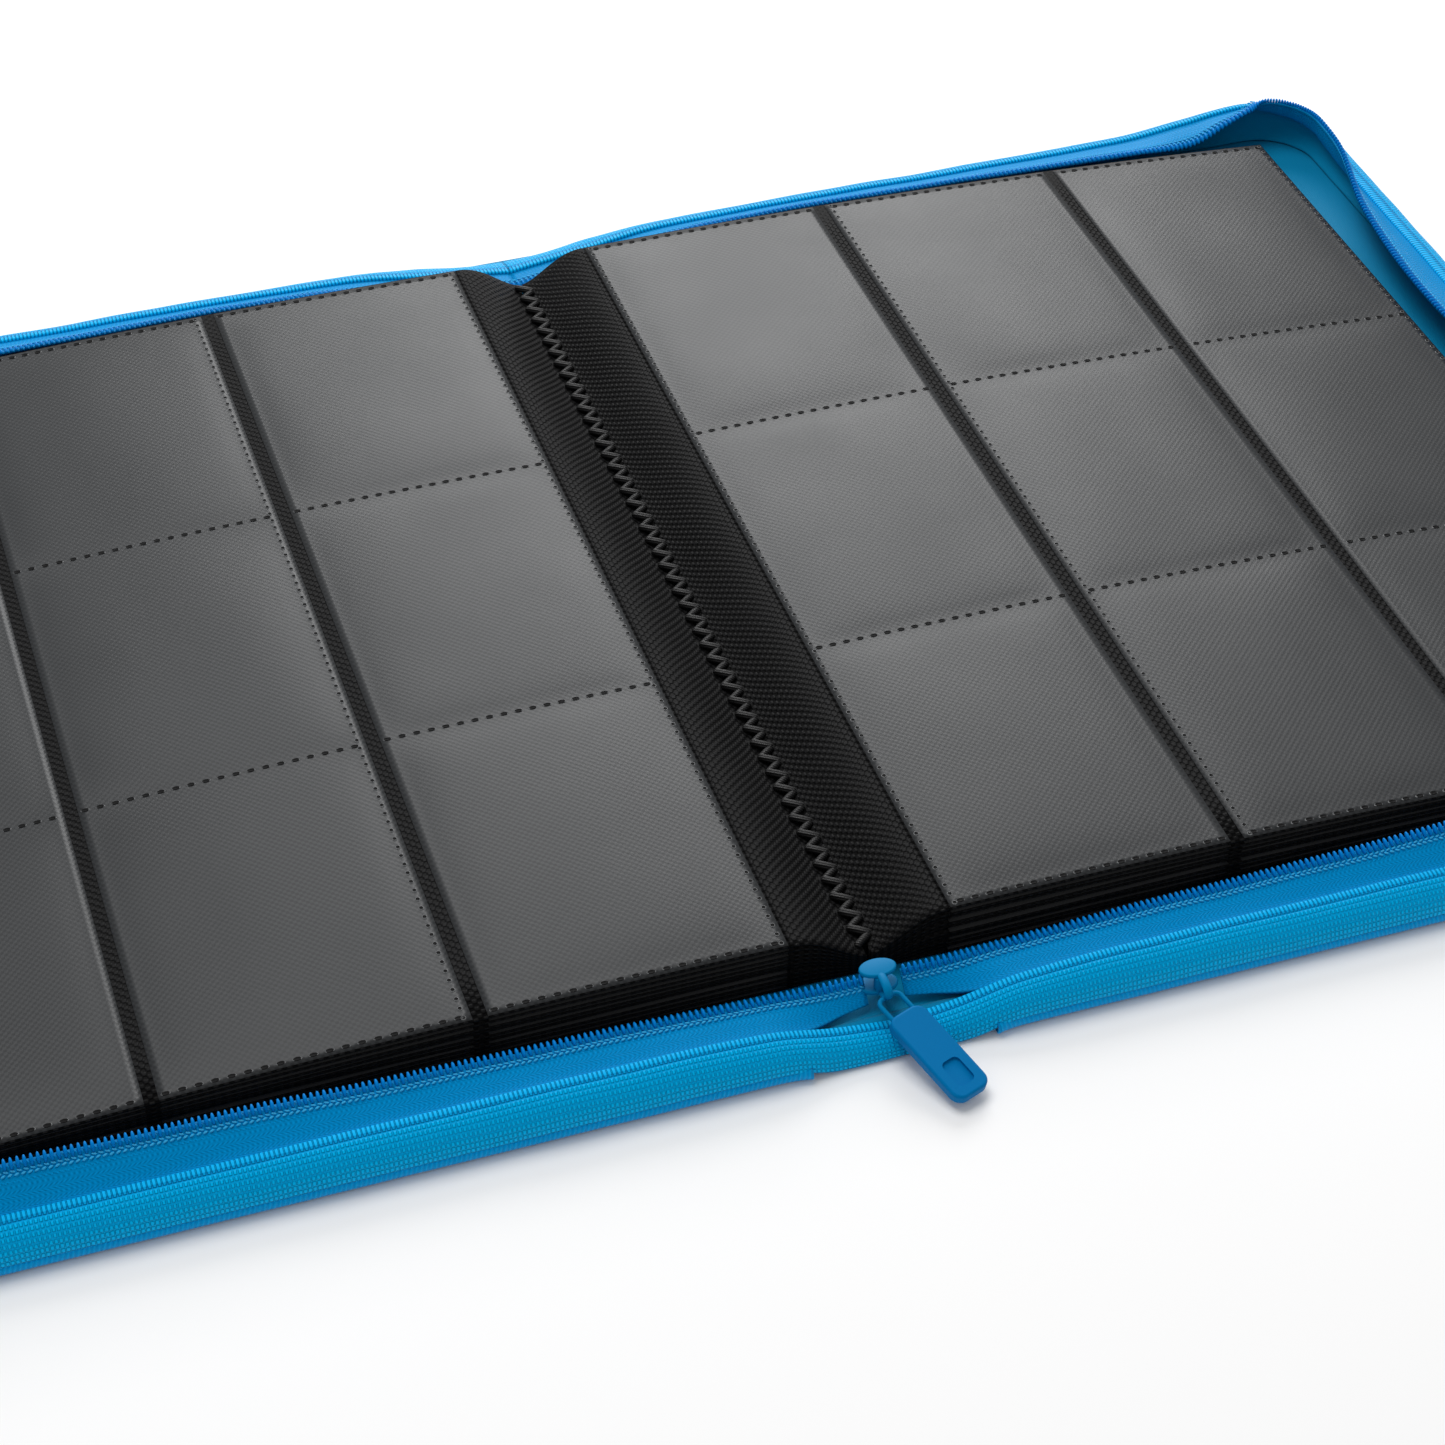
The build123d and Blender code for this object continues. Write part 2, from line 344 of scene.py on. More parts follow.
# %% Page finishes
def embossed(name, light, dark, pitch, rise, roughness, **fixed):
    """A sheet with a diamond emboss over its own coordinates."""
    material, wire = blank(name)
    sheet = over_sheet(wire)
    along, across, _ = sheet.parts()
    bumps = (along.wave(pitch) * across.wave(pitch)).between(-0.7, 0.7)
    haze = sheet.cloud(0.045, 3.0)
    height = bumps * rise + haze * 0.0001
    shade = (bumps * 0.6 + haze * 0.4).tint(dark, light)
    close(wire, shade, haze * 0.12 + roughness, height, **fixed)
    return material


film_finish = embossed("pocket_film", srgb(50, 52, 54), srgb(29, 31, 33), 0.0017, 0.00002, 0.34,
                       Specular_IOR_Level=0.25)
sheet_finish = embossed("black_sheet", srgb(24, 24, 25), srgb(1, 1, 1), 0.0023, 0.0003, 0.5,
                        Specular_IOR_Level=0.07)
# The inner pages' film is a darker copy of the pocket film: painted shade for the stack of page
# edges.
shaded_inner_film_finish = embossed("inner_film", srgb(40, 41, 42), srgb(26, 27, 28), 0.0009, 0.00001, 0.4,
                        Specular_IOR_Level=0.2)


# %% Plain finishes
def plain(name, colour, roughness, grain, rise, **fixed):
    """A moulded or painted finish with a fine grain."""
    material, wire = blank(name)
    speck = over_object(wire).cloud(grain)
    shade = speck.tint(darker(colour, 0.85), colour)
    close(wire, shade, speck * 0.12 + roughness, speck * rise, **fixed)
    return material


# The dark of the weld pits, also used as painted shade for the thread's needle holes.
pit_and_hole_shade_finish = plain("weld_pit_and_hole_shade", srgb(8, 8, 9), 0.6, 0.0004, 0.00001, Specular_IOR_Level=0.1)
# Painted highlight: the skirt and raised rim of each weld dot are a light grey, lighter than the
# film round it.
lip_highlight_finish = plain("weld_lip_highlight", srgb(96, 98, 100), 0.35, 0.0004, 0.00001)
coil_finish = plain("coil_nylon", srgb(0, 130, 214), 0.42, 0.0005, 0.00001, Specular_Tint=AZURE)
stitch_finish = plain("tape_stitches", srgb(60, 178, 232), 0.5, 0.0005, 0.00001, Specular_Tint=AZURE)
slider_finish = plain("slider_paint", srgb(0, 122, 176), 0.45, 0.0003, 0.000004,
                      Specular_Tint=AZURE, Specular_IOR_Level=0.3)
pull_finish = plain("pull_rubber", srgb(0, 114, 176), 0.55, 0.0003, 0.000012,
                    Specular_Tint=AZURE, Specular_IOR_Level=0.35)
board_finish = plain("board_grey", srgb(150, 140, 125), 0.9, 0.001, 0.00005)
floor_finish, floor_wire = blank("floor_paper")
close(floor_wire, srgb(248, 248, 248), 0.9, Emission_Color=(1, 1, 1, 1), Emission_Strength=0.015)


# %% Thread finish
def twisted(name, colour):
    """Black thread: slanting plies over the object's coordinates."""
    material, wire = blank(name)
    spot = over_object(wire)
    x, y, z = spot.parts()
    plies = (x * 0.7 + y + z * 0.5).wave(0.0008)
    fluff = spot.cloud(0.0003)
    shade = (plies * 0.3 + 0.5 + fluff * 0.2).tint(srgb(6, 6, 7), colour)
    close(wire, shade, fluff * 0.2 + 0.45, plies * 0.00006, Specular_IOR_Level=0.35)
    return material


thread_finish = twisted("black_thread", srgb(15, 15, 16))
print("all finishes:", len(bpy.data.materials))

# %% [markdown]
# ## Making pieces
# Most of the binder is sheet: cloth, ribbon, tape, backing and film. Each one starts as a flat
# grid, whose points a small function then moves to where the real sheet lies. The grid keeps its
# flat lengths as its own coordinates, so that the weave follows the sheet round every bend.


# %% Finish a piece
def finish_piece(name, mesh, side, finishes):
    """A right-hand bmesh becomes a named piece. side -1 turns it into its left-hand twin."""
    bmesh.ops.scale(mesh, vec=(side * MM, MM, MM), verts=mesh.verts)
    if side < 0:
        bmesh.ops.reverse_faces(mesh, faces=mesh.faces)
    data = bpy.data.meshes.new(name)
    mesh.to_mesh(data)
    mesh.free()
    for face in data.polygons:
        face.use_smooth = True
    for material in finishes:
        data.materials.append(material)
    piece = bpy.data.objects.new(name, data)
    bpy.context.scene.collection.objects.link(piece)
    return piece


# %% Sheets from grids
def add_grid(mesh, columns, rows, place, finish=0, flip=False):
    """A grid whose points, from 0 to 1 both ways, are moved to place(u, v) in millimetres."""
    made = bmesh.ops.create_grid(mesh, x_segments=columns, y_segments=rows, size=0.5)
    points = made["verts"]
    flat = {p: (p.co.x + 0.5, p.co.y + 0.5) for p in points}
    faces = {face for p in points for face in p.link_faces}
    coordinates = mesh.loops.layers.uv.verify()
    for p, (u, v) in flat.items():
        x, y, z, along, across = place(u, v)
        p.co = (x, y, z)
        for loop in p.link_loops:
            loop[coordinates].uv = (along * MM, across * MM)
    for face in faces:
        face.material_index = finish
    if flip:
        bmesh.ops.reverse_faces(mesh, faces=list(faces))


def thicken(piece, thickness, offset=-1.0):
    """Gives a sheet its thickness in millimetres, behind its outer face."""
    wall = piece.modifiers.new("thickness", "SOLIDIFY")
    wall.thickness = thickness * MM
    wall.offset = offset
    return piece


def stamp(mesh, pattern, place):
    """Adds one copy of a small pattern mesh, moved by a matrix."""
    copy = pattern.copy()
    copy.transform(place)
    mesh.from_mesh(copy)
    bpy.data.meshes.remove(copy)


# %% Curves and noise
def through(x, *stops):
    """A smooth value at x, through a few (place, value) stops."""
    x = min(max(x, stops[0][0]), stops[-1][0])
    i = next(n for n in range(len(stops) - 1) if x <= stops[n + 1][0])

    def slope(k):
        a = stops[max(k - 1, 0)]
        b = stops[min(k + 1, len(stops) - 1)]
        return (b[1] - a[1]) / (b[0] - a[0])

    (x0, y0), (x1, y1) = stops[i], stops[i + 1]
    t = (x - x0) / (x1 - x0)
    bend_0, bend_1 = slope(i) * (x1 - x0), slope(i + 1) * (x1 - x0)
    rise = y0 * (2 * t**3 - 3 * t**2 + 1) + y1 * (3 * t**2 - 2 * t**3)
    return rise + bend_0 * (t**3 - 2 * t**2 + t) + bend_1 * (t**3 - t**2)


def bezier(points, t):
    """A point at t on a curve with four (a, b) handles."""
    one, two, three, four = (Vector(p) for p in points)
    s = 1 - t
    return one * s**3 + two * 3 * s * s * t + three * 3 * s * t * t + four * t**3


def wander(a, b=0.0, c=0.0):
    """Smooth noise from -1 to 1."""
    return noise.noise(Vector((a, b, c)))


SIDES = (("right", 1), ("left", -1))

# %% [markdown]
# ## Sizes from the CAD
# The outline of a cover, the height of its boards and the extent of a page are read from the
# frame, so the pieces below fit it without any fitting.

# %% Read the CAD
low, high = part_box("right_edge_piping")
COVER_END = high.x / MM
HALF_DEPTH = high.y / MM
CORNER = 26.0
low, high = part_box("right_cover_lining")
LINING_TOP = high.z / MM
low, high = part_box("right_top_backing")
PAGE_HALF = high.y / MM
CREASE = low.x / MM
PAGE_END = high.x / MM
LEAVES = 10
print("cover", COVER_END, HALF_DEPTH, "page", CREASE, PAGE_END, PAGE_HALF)


# %% [markdown]
# ## Cover cloth and lining
# The outer cloth and the lining are each one sheet over both boards and the spine panel. They are
# pressed into the two grooves between the boards, where the covers fold. Each is made as two halves
# that meet in the middle of the spine.


# %% Outer cloth and lining
STRAIGHT_SHARE = 0.8
GROOVE_AT = 20.2


def panel(u, v, inset):
    """A point of a cover's plan, with round outer corners, set in from the edge."""
    straight = COVER_END - CORNER
    radius = CORNER - inset
    if u < STRAIGHT_SHARE:
        x = straight * u / STRAIGHT_SHARE
        half = HALF_DEPTH - inset
    else:
        angle = (u - STRAIGHT_SHARE) / 0.2 * math.pi / 2
        x = straight + radius * math.sin(angle)
        half = HALF_DEPTH - CORNER + radius * math.cos(angle)
    return x, (2 * v - 1) * half


def groove(x, depth):
    """How far a cloth is pressed into the gap beside the spine."""
    return depth * math.exp(-(((x - GROOVE_AT) / 2.0) ** 2))


def outer_cloth(u, v):
    x, y = panel(u, v, 1.6)
    return x, y, groove(x, 0.9), x, y


def inner_cloth(u, v):
    x, y = panel(u, v, 2.6)
    return x, y, LINING_TOP - groove(x, 0.8) + 0.12 * wander(x / 30, y / 30), x, y


for side, sign in SIDES:
    mesh = bmesh.new()
    add_grid(mesh, 150, 60, outer_cloth, flip=True)
    outer = finish_piece(side + "_outer_cloth", mesh, sign, [cover_cloth])
    thicken(outer, 0.6)
    mesh = bmesh.new()
    add_grid(mesh, 150, 60, inner_cloth)
    inner = finish_piece(side + "_lining_cloth", mesh, sign, [lining_cloth])
    thicken(inner, 0.7)
    for cloth, layer in ((outer, "_cover_fabric"), (inner, "_cover_lining")):
        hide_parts(side + layer)
        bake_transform(cloth)
    if sign > 0:
        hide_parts("spine_outer_fabric")
        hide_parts("spine_lining")
print("cover cloths done")


# %% [markdown]
# ## The line of the zipper
# Wall, tape, coil and piping all follow the cover's outer edge, from the middle of the front to
# the middle of the back. One function gives the point on that edge and the way inward. A second
# gives the cross-section there: the wall is full height over the boards and sinks towards the
# spine, where nothing stiff carries it.


# %% Edge and cross-section
FRONT = COVER_END - CORNER
BEND = CORNER * math.pi / 2
SIDE = 2 * (HALF_DEPTH - CORNER)
ROUND = 2 * FRONT + 2 * BEND + SIDE


def edge(s):
    """The cover's edge s millimetres round from the middle of the front, and the way inward."""
    straight_y = HALF_DEPTH - CORNER
    if s < FRONT:
        return Vector((s, -HALF_DEPTH)), Vector((0, 1))
    s -= FRONT
    if s < BEND:
        out = Vector((math.sin(s / CORNER), -math.cos(s / CORNER)))
        return Vector((FRONT, -straight_y)) + out * CORNER, -out
    s -= BEND
    if s < SIDE:
        return Vector((COVER_END, s - straight_y)), Vector((-1, 0))
    s -= SIDE
    if s < BEND:
        out = Vector((math.cos(s / CORNER), math.sin(s / CORNER)))
        return Vector((FRONT, straight_y)) + out * CORNER, -out
    return Vector((FRONT - (s - BEND), HALF_DEPTH)), Vector((0, -1))


def around(s, inward, height):
    """The point at s, so far in from the edge and so high."""
    spot, way = edge(s)
    spot = spot + way * inward
    return spot.x, spot.y, height


def wall_top(s):
    """(inward, height) of the wall's upper edge."""
    corner = ROUND - FRONT
    height = through(s, (0, 5.0), (14, 6.6), (30, 10.0), (60, 10.8), (corner - 60, 10.8),
                     (corner - 16, 14.0), (corner + 2, 15.6), (corner + 20, 13.4),
                     (corner + 40, 11.2), (corner + 80, 10.6), (ROUND - 60, 10.6),
                     (ROUND - 25, 9.0), (ROUND, 6.7))
    inward = through(s, (0, 6.8), (60, 7.3), (FRONT, 7.3), (FRONT + 60, 8.6),
                     (ROUND - FRONT, 7.6), (ROUND - 50, 7.8), (ROUND - 18, 11.0), (ROUND, 12.0))
    return inward, height + 0.25 * wander(s / 23)


def coil_line(s):
    """(inward, height) of the middle of the coil."""
    corner = ROUND - FRONT
    height = through(s, (4, 10.2), (14, 10.0), (24, 10.4), (60, 12.0), (103, 13.2), (180, 15.8),
                     (240, 17.0), (400, 15.4), (corner - 129, 14.6), (corner - 86, 14.6),
                     (corner - 53, 16.8), (corner - 20, 17.8), (corner - 6, 17.4),
                     (corner + 8, 15.0), (corner + 22, 11.6), (corner + 40, 11.6),
                     (ROUND - 60, 12.0), (ROUND - 24, 8.0), (ROUND, 5.8))
    inward = through(s, (4, 16.2), (FRONT, 16.0), (FRONT + 60, 16.6), (corner - 190, 18.5),
                     (corner - 129, 20.5), (corner - 86, 16.5), (corner - 53, 10.2),
                     (corner - 20, 10.4), (corner - 6, 11.0), (corner + 8, 14.6),
                     (corner + 22, 17.4), (corner + 60, 16.4), (ROUND - 60, 15.0), (ROUND, 19.5))
    return inward + 0.3 * wander(s / 31, 5), height + 0.25 * wander(s / 27, 9)


print("edge length a side:", round(ROUND), "mm")

# %% [markdown]
# ## Wall and piping
# The wall band bulges outward between the piping at the table and its upper edge, which is folded
# over. The piping is a folded strip of cloth round the rim of the cover, and it stops in two small
# ears where the spine begins. Both are grids with the cross-section across and the edge along.

# %% Wall
BAND_WIDTH = 11.4
FOLDED_AT = 0.86


def wall_profile(s):
    """The band's cross-section, from its foot to its upper edge."""
    inward, height = wall_top(s)
    foot = through(s, (0, 0.5), (16, 0.6), (27, 3.0), (60, 3.2), (ROUND - 60, 3.2),
                   (ROUND - 27, 3.0), (ROUND - 16, 0.6), (ROUND, 0.5))
    steep = through(s, (FRONT - 10, 0), (FRONT + 60, 1), (ROUND - FRONT - 60, 1), (ROUND - FRONT, 0))
    swell = 0.5 + 0.12 * wander(s / 17, 2)
    return [(0.15, foot), (0.3, foot + swell * (height - foot) * 1.05),
            (inward - 4.2 - 1.5 * steep, height - 0.2 + 0.3 * steep), (inward + 0.2, height)]


def wall_band(u, v):
    s = u * ROUND
    if v < FOLDED_AT:
        inward, height = bezier(wall_profile(s), v / FOLDED_AT)
    else:
        angle = (v - FOLDED_AT) / 0.14 * 2.6
        inward, height = wall_top(s)
        inward += 0.2 + 0.55 * math.sin(angle)
        height -= 0.65 * (1 - math.cos(angle))
    return (*around(s, inward, height), s, BAND_WIDTH * v)


def inner_wall(u, v):
    """The lining behind the wall, from under the zipper tape down to the cover's lining."""
    s = u * ROUND
    inward, height = wall_top(s)
    lay = [(inward + 0.5, height - 0.9), (5.0, height - 2.0), (7.0, 5.2), (9.9, LINING_TOP + 0.3)]
    inward, height = bezier(lay, v)
    return (*around(s, inward, height + 0.2 * wander(s / 9, v * 3)), s, 12 * v)


for side, sign in SIDES:
    mesh = bmesh.new()
    add_grid(mesh, 620, 22, wall_band)
    wall = finish_piece(side + "_wall_band", mesh, sign, [ribbon])
    thicken(wall, 0.8)
    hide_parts(side + "_wall_binding")
    mesh = bmesh.new()
    add_grid(mesh, 420, 10, inner_wall)
    behind = finish_piece(side + "_wall_lining", mesh, sign, [lining_cloth])
    thicken(behind, 0.4, 1.0)
    for cloth, width in ((wall, 0.0125), (behind, 0.01)):
        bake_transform(cloth)
    if sign > 0:
        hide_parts("front_end_binding", "back_end_binding")


# %% Piping
EAR = 22.0  # where the piping stops, from the middle of the spine


def piping(u, v):
    """A folded strip round the rim: out along the table, up over the fold and back inside."""
    s = EAR + u * (ROUND - 2 * EAR)
    near_end = min(s - EAR, ROUND - EAR - s)
    flare = 0.9 * math.exp(-near_end / 3.0)
    angle = -0.45 * math.pi + v * 1.15 * math.pi
    inward = 1.45 - (1.35 + flare) * math.cos(angle)
    height = 1.75 + (1.6 + 0.5 * flare) * math.sin(angle) + 0.12 * wander(s / 13, 4)
    return (*around(s, inward, max(height, 0.05)), s, 5.0 * v)


for side, sign in SIDES:
    mesh = bmesh.new()
    add_grid(mesh, 520, 12, piping)
    rim_cloth = finish_piece(side + "_rim_piping", mesh, sign, [piping_cloth])
    thicken(rim_cloth, 0.5)
    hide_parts(side + "_edge_piping")
    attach(rim_cloth, side + "_cover")


# %% [markdown]
# ## Zipper tape and coil
# The tape rises from the wall's upper edge and leans inward to the coil. The coil is a spiral of
# nylon sewn along the tape. From outside it reads as a row of small rounded teeth, with a line
# of chain stitches behind it. Each tooth is one small stretched ball, repeated along the line, and
# so is each stitch. Tape and coil start beside the slider, where the tape's foot is drawn in.

# %% Tape
START = 4.4
TAPE_WIDTH = 9.0


def tape_profile(s):
    """The tape's cross-section. Beside the slider its foot is drawn in under the coil."""
    foot, low = wall_top(s)
    head, high = coil_line(s)
    drawn_in = through(s, (START, 1.0), (START + 7, 0.75), (START + 20, 0.0), (START + 30, 0.0))
    foot += (12.6 - foot) * drawn_in
    low += (6.4 - low) * drawn_in
    buckled = math.exp(-(((s - (ROUND - FRONT - 25)) / 34) ** 2))
    belly = 0.5 + 0.5 * wander(s / 15, 7) + 2.2 * buckled * wander(s / 7.5, 3)
    near = Vector((foot + (head - foot) * 0.5 + 0.6 + 0.8 * buckled * wander(s / 6, 8),
                   low + (high - low) * 0.45 + belly))
    middle = Vector((head, high))
    tip = middle + (middle - near).normalized() * 0.5
    return [(foot - 0.2, low - 0.5), (foot + 1.6 * (1 - drawn_in), low - 1.3 * (1 - drawn_in)),
            near, tip]


def zip_tape(u, v):
    s = START + u * (ROUND - START)
    inward, height = bezier(tape_profile(s), v)
    return (*around(s, inward, height), s, TAPE_WIDTH * v)


# %% Places along the coil
def lean(s):
    """How steeply the tape meets the coil."""
    before, after = bezier(tape_profile(s), 0.9), bezier(tape_profile(s), 1.0)
    return math.atan2(after.y - before.y, after.x - before.x)


def on_coil(s, inward=0.0, lift=0.0):
    """Places a small part at s: x along the coil, y inward along the tape, z off the tape."""
    spot, way = edge(s)
    middle, height = coil_line(s)
    slope = lean(s)
    along = Vector((way.y, -way.x, 0))
    across = Vector((way.x * math.cos(slope), way.y * math.cos(slope), math.sin(slope)))
    off = along.cross(across)
    turn = Matrix((along, across, off)).transposed().to_4x4()
    spot = spot + way * middle
    at = Vector((spot.x, spot.y, height)) + across * inward + off * lift
    return Matrix.Translation(at) @ turn


# %% One tooth
TOOTH = 1.42  # the pitch of the teeth
pattern = bmesh.new()
bmesh.ops.create_uvsphere(pattern, u_segments=6, v_segments=5, radius=1.0)
bmesh.ops.rotate(pattern, matrix=Matrix.Rotation(math.pi / 2, 3, "X"), verts=pattern.verts)
bmesh.ops.scale(pattern, vec=(0.46, 1.35, 0.85), verts=pattern.verts)
tooth = bpy.data.meshes.new("tooth")
pattern.to_mesh(tooth)
pattern.free()
print("faces of a tooth:", len(tooth.polygons))

# %% Tape, coil and stitches
for side, sign in SIDES:
    mesh = bmesh.new()
    add_grid(mesh, 560, 12, zip_tape)
    tape = finish_piece(side + "_zip_tape_cloth", mesh, sign, [tape_cloth])
    thicken(tape, 0.5)
    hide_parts(side + "_zip_tape")
    mesh = bmesh.new()
    count = int((ROUND - START) / TOOTH)
    for n in range(count):
        s = START + (n + 0.5) * (ROUND - START) / count
        stamp(mesh, tooth, on_coil(s, 0.2, 0.45))
    teeth = finish_piece(side + "_coil_teeth", mesh, sign, [coil_finish])
    mesh = bmesh.new()
    for n in range(count):
        s = START + (n + 0.5) * (ROUND - START) / count
        for inward, shift, slant in ((-1.5, 0.0, 0.35), (-2.25, TOOTH / 2, -0.35)):
            lay = Matrix.Rotation(math.pi / 2 + slant, 4, "Z") @ Matrix.Diagonal((0.6, 0.44, 0.3, 1))
            stamp(mesh, tooth, on_coil(s + shift, inward, 0.12) @ lay)
    rows = finish_piece(side + "_coil_stitches", mesh, sign, [stitch_finish])
    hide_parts(side + "_zip_coil")
    for part in (tape, teeth, rows):
        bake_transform(part)
    if sign > 0:
        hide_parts("front_tape_ends", "back_tape_ends")
        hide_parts("front_coil_ends", "back_coil_ends")
print("teeth a side:", count)

# %% [markdown]
# ## Pages
# A page is a black sheet with film welded to both faces. Nine of the ten pages on a side show only
# their edges, so they stay simple. Each rests on the one below and swells a little in its middle, as
# pockets with air in them do.

# %% Page heights
BOTTOM = 4.3
BACKING = 0.36
FILM = 0.12
SWELL = 2.4


def page_height(leaf, x):
    """Underside of a page at a distance from the gutter. Page 0 lies on the lining."""
    t = (x - CREASE) / (PAGE_END - CREASE)
    start = BOTTOM + 1.45 * leaf
    end = BOTTOM + 0.75 * leaf
    return start + (end - start) * t + SWELL * (leaf + 1) / LEAVES * 4 * t * (1 - t)


# %% Pocket columns and mesh copies
COLUMNS = ((19.4, 88.6), (92.1, 161.2), (164.4, PAGE_END - 0.2))
print("pocket widths:", [round(end - start, 1) for start, end in COLUMNS])


def gives(piece):
    """Gives a page piece its own copy of its mesh data."""
    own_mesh(piece)


# %% Inner pages
def shuffled(leaf, side):
    """How far a page has slipped out of line with the rest."""
    return 0.7 * wander(leaf * 1.7, side * 3.1), 0.8 * wander(leaf * 2.3, side * 5.3, 4)


def inner_page(leaf, side, start, end, lift, half):
    """Places a grid on a page, between two distances from the gutter."""
    slip_x, slip_y = shuffled(leaf, side)

    def place(u, v):
        x = start + u * (end - start)
        y = (2 * v - 1) * half
        curl = 0.5 * wander(x / 60, leaf, side) * (abs(y) / half) ** 6
        z = page_height(leaf, x) + lift + max(curl, -0.3)
        return x + slip_x, y + slip_y, z, x, y

    return place


for side, sign in SIDES:
    pockets = bmesh.new()
    for leaf in range(LEAVES - 1):
        mesh = bmesh.new()
        add_grid(mesh, 40, 16, inner_page(leaf, sign, CREASE, PAGE_END, FILM + BACKING, PAGE_HALF))
        name = f"{side}_page_{leaf + 1}_sheet"
        page = finish_piece(name, mesh, sign, [sheet_finish])
        thicken(page, BACKING)
        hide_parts(f"{side}_leaf_{leaf + 1}_backing")
        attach(page, side + "_pages")
        gives(page)
        for start, end in COLUMNS:
            for lift in (0.06, FILM * 2 + BACKING):
                place = inner_page(leaf, sign, start, end, lift, PAGE_HALF - 0.4)
                add_grid(pockets, 12, 16, place)
    # The inner films take the darker copy of the pocket film, as painted shade.
    films = finish_piece(side + "_inner_page_films", pockets, sign, [shaded_inner_film_finish])
    thicken(films, FILM * 0.9)
    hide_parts(side + "_inner_films")
    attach(films, side + "_pages")
    gives(films)


# %% [markdown]
# ## The top page
# The top page shows everything: three columns of three pockets, the two bare bands where the
# pockets open, and the rows of weld dots round each pocket. The film stands off the backing by up
# to 0.9 mm in the middle of a pocket, which breaks up its reflections.


# %% Top page
TOP = LEAVES - 1
MARGIN = 2.0
PITCH_Y = 2 * (PAGE_HALF - MARGIN) / 3


def pocket_swell(x, y, start, end):
    """How far the film stands off the sheet."""
    row = (y + PAGE_HALF - MARGIN) % PITCH_Y
    if abs(y) > PAGE_HALF - MARGIN:
        return 0.0
    near_seam = max(min(row, PITCH_Y - row) - 1.8, 0.0)
    near_edge = max(min(x - start, end - x) - 2.6, 0.0)
    dome = (1 - math.exp(-near_seam / 7)) * (1 - math.exp(-near_edge / 6))
    ripple = 0.5 + 0.5 * wander(x / 34, y / 47, 1.0)
    return dome * (0.25 + 0.65 * ripple)


def top_film(start, end, front):
    """Places a grid on one face of the top page, over one column of pockets."""

    def place(u, v):
        x = start + u * (end - start)
        y = (2 * v - 1) * (PAGE_HALF - 0.4)
        rise = pocket_swell(x, y, start, end)
        z = page_height(TOP, x)
        z += (FILM * 2 + BACKING + rise) if front else -0.4 * rise
        return x, y, z, x, y

    return place


def top_sheet(u, v):
    x = CREASE + u * (PAGE_END - CREASE)
    y = (2 * v - 1) * PAGE_HALF
    return x, y, page_height(TOP, x) + FILM + BACKING, x, y


for side, sign in SIDES:
    mesh = bmesh.new()
    add_grid(mesh, 60, 20, top_sheet)
    page = finish_piece(side + "_top_page_sheet", mesh, sign, [sheet_finish])
    thicken(page, BACKING)
    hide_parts(side + "_top_backing")
    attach(page, side + "_leaf")
    gives(page)
    for label, front in (("front", True), ("back", False)):
        mesh = bmesh.new()
        for start, end in COLUMNS:
            add_grid(mesh, 36, 120, top_film(start, end, front), flip=not front)
        name = f"{side}_top_{label}_pockets"
        pocket = finish_piece(name, mesh, sign, [film_finish])
        thicken(pocket, FILM * 0.9)
        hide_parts(f"{side}_top_{label}_film")
        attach(pocket, side + "_leaf")
        gives(pocket)


# %% [markdown]
# ## Weld dots
# A heated wheel has welded film to sheet in rows of small dots. Each dot is a pit with a raised rim;
# the rim and its skirt are a lighter grey, which is a painted highlight. The rows across a page are
# made of short bars, and the rows along it of round dots. One small pattern of rings is stamped
# along every row.


# %% Weld dots
def weld_pattern(name, length, width):
    """Rings from a flat skirt up to a lip and down to a pit."""
    mesh = bmesh.new()
    bmesh.ops.create_circle(mesh, cap_ends=True, segments=8, radius=0.5)
    for depth, size in ((0.12, 0.86), (-0.02, 0.88), (-0.07, 0.7)):
        top = [f for f in mesh.faces if len(f.verts) == 8]
        bmesh.ops.inset_region(mesh, faces=top, thickness=0.001, use_boundary=True)
        top = [f for f in mesh.faces if len(f.verts) == 8]
        rim = top[0].verts[:]
        bmesh.ops.scale(mesh, vec=(size, size, 1), verts=rim)
        bmesh.ops.translate(mesh, vec=(0, 0, depth), verts=rim)
    bmesh.ops.scale(mesh, vec=(width, length, 1), verts=mesh.verts)
    mesh.normal_update()
    # Skirt and rim take the light grey of the painted highlight, the middle the dark pit.
    for face in mesh.faces:
        face.material_index = 0 if face.calc_center_median().xy.length > 0.37 * width else 1
    if sum(face.normal.z for face in mesh.faces) < 0:
        bmesh.ops.reverse_faces(mesh, faces=mesh.faces)
    data = bpy.data.meshes.new(name)
    mesh.to_mesh(data)
    mesh.free()
    return data


dot = weld_pattern("weld_dot", 1.4, 1.3)
bar = weld_pattern("weld_bar", 1.25, 2.3)

# %% Rows of dots
SEAMS = (20.7, 93.9, PAGE_END - 1.1)
DOT_PITCH = 3.0
BAR_PITCH = 3.5


def weld_rows():
    """Every dot's (pattern, x, y) on one face of a page."""
    for x in SEAMS:
        reach = 2 * (PAGE_HALF - 1.5)
        count = int(reach / DOT_PITCH)
        for n in range(count + 1):
            yield dot, x, (n / count - 0.5) * reach
    for row in range(4):
        y = -(PAGE_HALF - 1.8) + row * (PAGE_HALF - 1.8) * 2 / 3
        for start, end in COLUMNS:
            reach = end - start - 4.5
            count = int(reach / BAR_PITCH)
            for n in range(count + 1):
                yield bar, start + 2.8 + n * reach / count, y


